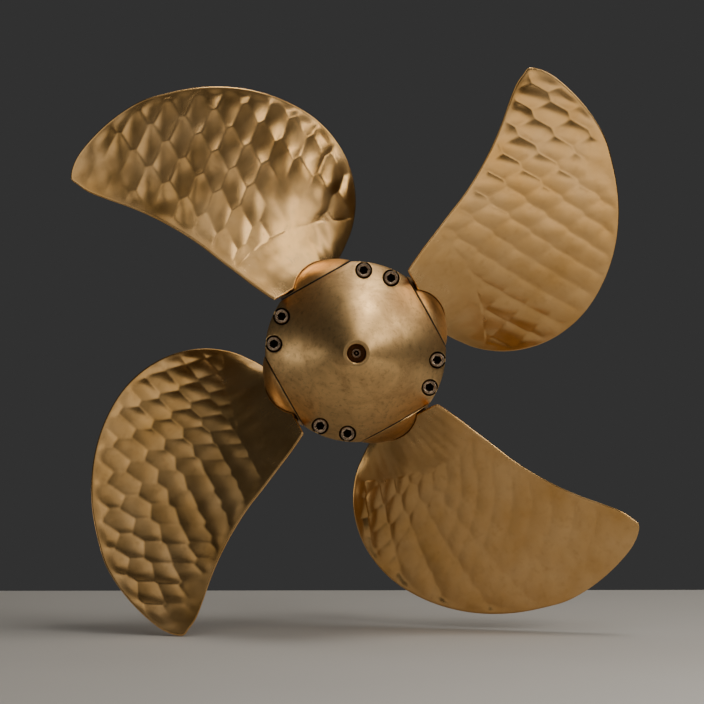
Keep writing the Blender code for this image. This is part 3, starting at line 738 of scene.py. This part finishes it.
def pad_relief(across, out, lattice):
    """Height of the pads: over nought round the crowns, and under it towards the creases."""
    p = np.stack([across, out], axis=-1)
    i, j = np.zeros(across.shape), np.zeros(across.shape)
    step = 0.01
    for _ in range(5):
        here = lattice_point(lattice, i, j)
        along_i = (lattice_point(lattice, i + step, j) - here) / step
        along_j = (lattice_point(lattice, i, j + step) - here) / step
        rest = p - here
        det = along_i[..., 0] * along_j[..., 1] - along_i[..., 1] * along_j[..., 0]
        i = i + (rest[..., 0] * along_j[..., 1] - rest[..., 1] * along_j[..., 0]) / det
        j = j + (along_i[..., 0] * rest[..., 1] - along_i[..., 1] * rest[..., 0]) / det
    wide, cross = lattice["slant"]
    nearest = np.full(across.shape, np.inf)
    for di in (-1, 0, 1):
        for dj in (-1, 0, 1):
            away = p - lattice_point(lattice, np.round(i) + di, np.round(j) + dj)
            far = wide * away[..., 0] ** 2 + 2 * cross * away[..., 0] * away[..., 1] + away[..., 1] ** 2
            nearest = np.minimum(nearest, far)
    height = -0.5 * lattice["crowned"] * np.minimum(nearest, PAD_REACH ** 2)
    return height - np.median(height)


def hand_waves(across, out, seed, longest, shortest, height):
    """A gentle unevenness from hand grinding: a sum of a few waves in different directions."""
    pick = np.random.default_rng(seed)
    total = np.zeros(across.shape)
    for _ in range(9):
        length = pick.uniform(shortest, longest)
        turn, start = pick.uniform(0, math.pi), pick.uniform(0, 2 * math.pi)
        wave = (across * math.cos(turn) + out * math.sin(turn)) * 2 * math.pi / length
        total += length * np.sin(wave + start)
    return total * height / longest / 3


fall = 0.5 * LATTICES[0]["crowned"] * 0.012 ** 2
print("the first blade's pads fall", round(fall * 1000, 2), "mm in 12 mm")

# %% [markdown]
# ## A grid of points for the blade
#
# Each blade is one skin round a grid of face points and back points that meet at the edges. Rows
# follow the radius and columns the chord, and both lie closer where the shape turns faster: at the
# edges, at the tip and just above the foot. The distance of every point from the outline comes
# from a k-d tree. It tells later where the edge is rounded and where the pads die away.

# %% Grid of the blade
FOOT_RADIUS, FOOT_EDGE, FOOT_APEX, FOOT_UNDERSIDE = 0.0508, 0.0010, 0.1246, 0.1044
FINE_FROM, FINE_TO, EVEN_TO, TIP_BAND = 0.1065, 0.129, 0.417, 0.013
FINE_STEP, EVEN_STEP, TIP_ROWS, COLUMNS, OUTLINE_POINTS = 0.0005, 0.00135, 20, 146, 12000
dome_rise = FOOT_APEX - FOOT_UNDERSIDE - FOOT_EDGE
dome_radius = (FOOT_RADIUS ** 2 + dome_rise ** 2) / (2 * dome_rise)


def smooth_step(value, low, high):
    """0 up to low, 1 from high on, and a soft S in between."""
    t = np.clip((value - low) / (high - low), 0, 1)
    return t * t * (3 - 2 * t)


def dome_height(reach):
    """Height of the foot's dome above the shaft axis at a distance from the spindle."""
    return FOOT_APEX - dome_radius + np.sqrt(np.maximum(dome_radius ** 2 - reach ** 2, 0))


tip_roots = np.linspace(math.sqrt(TIP_BAND), math.sqrt(0.0001), TIP_ROWS)
radii = np.concatenate([np.arange(FINE_FROM, FINE_TO, FINE_STEP), np.arange(FINE_TO, EVEN_TO, EVEN_STEP),
                        PROPELLER_RADIUS - tip_roots ** 2])
share = radii[:, None] / PROPELLER_RADIUS
leading, trailing = edge_angles(share)
slope = np.arctan2(PITCH / (2 * math.pi), share * PROPELLER_RADIUS)
chord = share * PROPELLER_RADIUS * (trailing - leading) / np.cos(slope)
near_edge = np.array([0.0, 0.00012, 0.0005, 0.0011, 0.0019, 0.0029])
start = near_edge[None, :] * np.minimum(1, 0.25 * chord / near_edge[-1]) / chord
middle = np.linspace(0, 1, COLUMNS - 2 * len(near_edge) + 2)[None, 1:-1]
spread = start[:, -1:] + (1 - 2 * start[:, -1:]) * middle
along = np.concatenate([start, spread, 1 - start[:, ::-1]], axis=1)
plain = on_section(share, along, 0.0)

outline = kdtree.KDTree(2 * OUTLINE_POINTS)
outline_shares = 1 - np.linspace(0, 1, OUTLINE_POINTS) ** 2 * (1 - ROOT_SHARE + 0.02)
for side in (0.0, 1.0):
    for point in on_section(outline_shares, side, 0.0):
        outline.insert((point[0], 0, point[2]), 0)
outline.balance()
distance = np.array([[outline.find((p[0], 0, p[2]))[2] for p in line] for line in plain])
deepest = round(float(distance.max()) * 1000)
print("grid of", along.shape, "points on each side, up to", deepest, "mm from the outline")

# %% [markdown]
# ## The face and the back
#
# The shape over this grid is a sum: the plain section, the pads, the swelling of the root and the
# unevenness of hand work. Inside a circle of about 178 mm the root was ground smooth after the
# milling. The pads stop at that line, the face rises there in a low crest that catches the light,
# and from it the face swells gently towards the foot. On the photo some places are worn nearly
# smooth, so the pads keep a tenth of their height there. Only the lattice, the worn places and
# the seed of the hand work differ from blade to blade.

# %% Face and back of one blade
EDGE_ROUND = 0.0021
GROUND_RADIUS, GROUND_LEAN, GROUND_SPAN = 0.1775, 0.0065, 0.045
PADS_FROM, PADS_FULL_FROM, PADS_LEFT = 0.0020, 0.0135, 0.10
CREST_RISE, CREST_REACH, SWELL_SLOPE, SWELL_BEND = 0.0007, 0.009, 0.05, 1.6
# Worn places of each blade: across, out and reach, in metres.
WORN = (
    ((-0.060, 0.400, 0.030),),
    ((-0.190, 0.350, 0.060), (-0.150, 0.270, 0.036), (-0.118, 0.215, 0.026), (0.02, 0.205, 0.045)),
    ((-0.190, 0.360, 0.030), (-0.165, 0.320, 0.022)),
    ((-0.180, 0.370, 0.030),),
)


def two_sides(lattice, worn, seed):
    """How far the face and the back stand off the helix, at every point of the grid."""
    outward = (1 - share) / (1 - ROOT_SHARE)
    edge = EDGE_THICK_TIP + (EDGE_THICK_ROOT - EDGE_THICK_TIP) * outward
    thick = TIP_THICK + (ROOT_THICK - TIP_THICK) * outward ** THICK_POWER
    thick = np.minimum(thick, edge + 0.12 * chord)
    full = edge + (thick - edge) * 4 * along * (1 - along)
    rounding = np.sqrt(1 - (1 - np.clip(distance / EDGE_ROUND, 0, 1)) ** 2)
    across, out = plain[..., 0], plain[..., 2]
    inside = GROUND_RADIUS - GROUND_LEAN * np.tanh(across / GROUND_SPAN) - np.hypot(across, out)
    ground = smooth_step(inside, -0.0004, 0.0006)
    fade = smooth_step(distance, PADS_FROM, PADS_FULL_FROM) * (1 - ground)
    for worn_across, worn_out, worn_reach in worn:
        away = np.hypot(across - worn_across, out - worn_out)
        whole = smooth_step(away, worn_reach * 0.6, worn_reach * 1.2)
        fade = fade * (PADS_LEFT + (1 - PADS_LEFT) * whole)
    inner = smooth_step(distance, 0.0, 0.012)
    swell = np.maximum(inside, 0)
    spokes = hand_waves(np.arctan2(across, out) * 0.15, 0.25 * out, 40 + seed, 0.020, 0.009, 0.00012)
    crown = 4 * along * (1 - along) * (1 - 0.8 * smooth_step(along, 0.25, 0.80))
    crest = CREST_RISE * (1 - np.exp(-swell / CREST_REACH)) * inner
    swell = (SWELL_SLOPE * swell + swell ** 2 / SWELL_BEND) * crown + crest + ground * spokes * inner
    waves = hand_waves(across, out, seed, 0.055, 0.016, 0.00028) * inner
    face_pads, back_pads = (pad_relief(across, out, each) for each in (lattice, BACK_LATTICE))
    face = (edge / 2) * rounding + fade * face_pads + swell + waves
    back = (edge / 2 + full - edge) * rounding + fade * back_pads + 0.5 * swell
    return face, back


print("worn places:", [len(places) for places in WORN])

# %% [markdown]
# ## The skin
#
# The face's rows and the back's rows join at the edges into rings, and the rings into one closed
# skin. Just above the foot both sides curl in, so that the blade stands on the dome with a rounded
# lip. Below that a plane cuts the skin off, and the opening is filled, inside the foot where
# nobody sees it.

# %% Blade skins
LIP = 0.0022


def blade_skin(name, face, back):
    """A closed mesh of one blade in its own frame, down to the flat underside of the root."""
    sides = []
    for off in (face, -back):
        skin = on_section(share, along, off)
        gap = skin[..., 2] - np.maximum(dome_height(np.hypot(skin[..., 0], skin[..., 1])), ROOT_CUT)
        curl = LIP * (1 - np.sqrt(1 - (1 - np.clip(gap / LIP, 0, 1)) ** 2))
        sides.append(on_section(share, along, off - np.sign(off) * np.minimum(curl, np.abs(off))))
    ring = np.concatenate([sides[0], sides[1][:, -2:0:-1]], axis=1)
    rows, rim = ring.shape[:2]
    work = bmesh.new()
    verts = [work.verts.new(p) for p in ring.reshape(-1, 3)]
    for r in range(rows - 1):
        for c in range(rim):
            low, next_low, high = r * rim + c, r * rim + (c + 1) % rim, (r + 1) * rim
            work.faces.new((verts[low], verts[next_low], verts[high + (c + 1) % rim], verts[high + c]))
    work.faces.new(verts[:rim])
    work.faces.new(verts[-rim:])
    everything = work.verts[:] + work.edges[:] + work.faces[:]
    opened = bmesh.ops.bisect_plane(work, geom=everything, dist=1e-7, plane_co=(0, 0, ROOT_CUT),
                                    plane_no=(0, 0, 1), clear_inner=True)
    rim_edges = [item for item in opened["geom_cut"] if isinstance(item, bmesh.types.BMEdge)]
    bmesh.ops.holes_fill(work, edges=rim_edges, sides=0)
    bmesh.ops.recalc_face_normals(work, faces=work.faces)
    mesh = bpy.data.meshes.new(name)
    work.to_mesh(mesh)
    work.free()
    mesh.shade_smooth()
    mesh.set_sharp_from_angle(angle=math.radians(50))
    return mesh


for index in range(BLADE_COUNT):
    name = f"blade_skin_{index + 1}"
    face, back = two_sides(LATTICES[index], WORN[index], 10 * index)
    mesh = blade_skin(name, face, back)
    blade = put(name, mesh, milled_bronze, on_spindle(index))
    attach(blade, f"blade_{index + 1}")
    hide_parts(f"blade_{index + 1}")
    print(blade.name, "has", 2 * len(mesh.polygons), "triangles")

# %% [markdown]
# ## The feet
#
# The foot is a disc with a domed top that turns flush in the hub's flat, and the journal under it
# runs in the bearing. It is turned about the spindle, so it takes the turned bronze: its rings
# then run round the spindle, because the pattern goes by the piece's own axis.

# %% Feet and journals
widest = math.asin(FOOT_RADIUS / dome_radius)
dome = [(dome_radius * math.sin(t), FOOT_APEX - dome_radius * (1 - math.cos(t)))
        for t in (widest * i / 24 for i in range(24, 0, -1))]
foot_profile = journal_profile(0.0) + [
    (JOURNAL_RADIUS, FOOT_UNDERSIDE), (FOOT_RADIUS - 0.0003, FOOT_UNDERSIDE),
    (FOOT_RADIUS, FOOT_UNDERSIDE + 0.0003)] + dome + [(0, FOOT_APEX)]
foot_mesh = turned("foot", foot_profile, 128)
foot_mesh.shade_smooth()
foot_mesh.set_sharp_from_angle(angle=math.radians(30))
for index in range(BLADE_COUNT):
    foot = put(f"foot_{index + 1}", foot_mesh, turned_bronze, on_spindle(index))
    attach(foot, f"blade_{index + 1}")
print("a foot has", len(foot_mesh.polygons), "faces")

# %% [markdown]
# ## A floor
#
# A plain pale floor lies under the two lower blades. It is no part of the propeller. Metal shows
# what is round it, so the floor also lights the blades from below.

# %% Floor
LOWEST, FLOOR_HALF = -0.3600, 1.5
work = bmesh.new()
bmesh.ops.create_grid(work, x_segments=8, y_segments=8, size=FLOOR_HALF)
floor_mesh = bpy.data.meshes.new("floor")
work.to_mesh(floor_mesh)
work.free()
pale, tree, shader = new_material("pale_matt_floor", "#bdbab5", 0.0, 0.85)
mottle = add_node(tree, "ShaderNodeTexNoise", {"Vector": own_place(tree), "Scale": 3.0, "Detail": 2.0})
drive(tree, shader, {"Base Color": blend(tree, mottle.outputs["Fac"], "#bab7b2", "#c1beb9")})
floor = put("floor", floor_mesh, pale, Matrix.Translation((0.3, -1.1, LOWEST)))
print("floor", round(-LOWEST * 1000), "mm under the shaft")

# %% [markdown]
# ## Soft light
#
# Polished metal has no shade of its own: each blade shows the panel, the floor or the dim room
# that lies in its mirror direction. So the panels are placed by what each blade should show. The
# upper left one mirrors three nested panels above it, which fade out towards their rim. The upper
# right one mirrors the bright patch of floor, the cap a ring of panels round the shaft, and the
# lower ones see mostly the floor and the grey room. The light is nearly white, because the
# bronze brings the colour.

# %% Panels and room
CENTRE = Vector((0, -SPINDLE_AT, 0))


def soft_panel(name, at, toward, size, brightness, colour="#fffaf2"):
    """A soft panel. Its brightness is what a mirror would show of it, so watts follow from its size."""
    light = bpy.data.lights.new(name, "AREA")
    light.shape, light.size, light.size_y = "RECTANGLE", size[0], size[1]
    light.energy = brightness * math.pi * size[0] * size[1]
    light.color = linear(colour)[:3]
    made = bpy.data.objects.new(name, light)
    bpy.context.scene.collection.objects.link(made)
    made.location = at
    made.rotation_euler = (Vector(toward) - Vector(at)).to_track_quat("-Z", "Y").to_euler()
    return made


def around_shaft(turn_deg, off_axis_deg, distance):
    """A place seen from the hub: an angle round the shaft, and one away from the camera's side."""
    turn, off = math.radians(turn_deg), math.radians(off_axis_deg)
    way = Vector((math.sin(off) * math.cos(turn), -math.cos(off), math.sin(off) * math.sin(turn)))
    return CENTRE + way * distance


PANELS = (  # name, degrees round the shaft and off it, distance, width and height, brightness
    ("high_left_wide", 124, 35, 2.2, (2.1, 1.9), 0.19),
    ("high_left_middle", 115, 34, 2.2, (1.5, 1.9), 0.27),
    ("high_left", 104, 33, 2.2, (0.9, 1.9), 0.34),
    ("high_right_wide", 60, 62, 2.2, (1.4, 1.4), 0.12),
    ("high_right", 63, 66, 2.2, (1.4, 0.9), 0.50),
    ("right", 34, 80, 2.3, (1.1, 1.1), 2.8),
    ("over_cap", 76, 86, 2.2, (0.65, 0.8), 9.0),
    ("behind", 90, 106, 2.3, (1.0, 0.8), 1.6),
    ("left", 182, 88, 2.2, (0.6, 0.6), 1.8),
)
for name, turn_deg, off_deg, away, size, brightness in PANELS:
    soft_panel(name, around_shaft(turn_deg, off_deg, away), CENTRE, size, brightness)
soft_panel("over_floor", (1.45, -1.65, 0.60), (1.45, -1.75, LOWEST), (1.2, 1.2), 7.5)

world = bpy.data.worlds.new("studio")
bpy.context.scene.world = world
world.use_nodes = True
world.node_tree.nodes["Background"].inputs["Color"].default_value = linear("#373737")
world.node_tree.nodes["Background"].inputs["Strength"].default_value = 1.0
print("panels:", len(PANELS) + 1)

# %% [markdown]
# ## Camera
#
# The camera looks along the shaft from aft, slightly from above and the left, with a long lens.
# The lens follows from the distance and from how many millimetres a pixel shows at the blades.

# %% Camera
MM_A_PIXEL, DISTANCE, PIXELS, SENSOR = 0.0012855, 3.857, 704, 36.0
down, right = math.radians(1.2), math.radians(0.8)
camera_data = bpy.data.cameras.new("camera")
camera_data.sensor_width = SENSOR
camera_data.lens = SENSOR * DISTANCE / (PIXELS * MM_A_PIXEL)
camera = bpy.data.objects.new("camera", camera_data)
bpy.context.scene.collection.objects.link(camera)
from_aft = Vector((-math.sin(right), -math.cos(right) * math.cos(down), math.sin(down)))
camera.location = CENTRE + DISTANCE * from_aft
aim = CENTRE + Vector((-3.0, 0, -1.0)) * MM_A_PIXEL
camera.rotation_euler = (aim - camera.location).to_track_quat("-Z", "Y").to_euler()
bpy.context.scene.camera = camera
print("lens", round(camera_data.lens, 1), "mm")
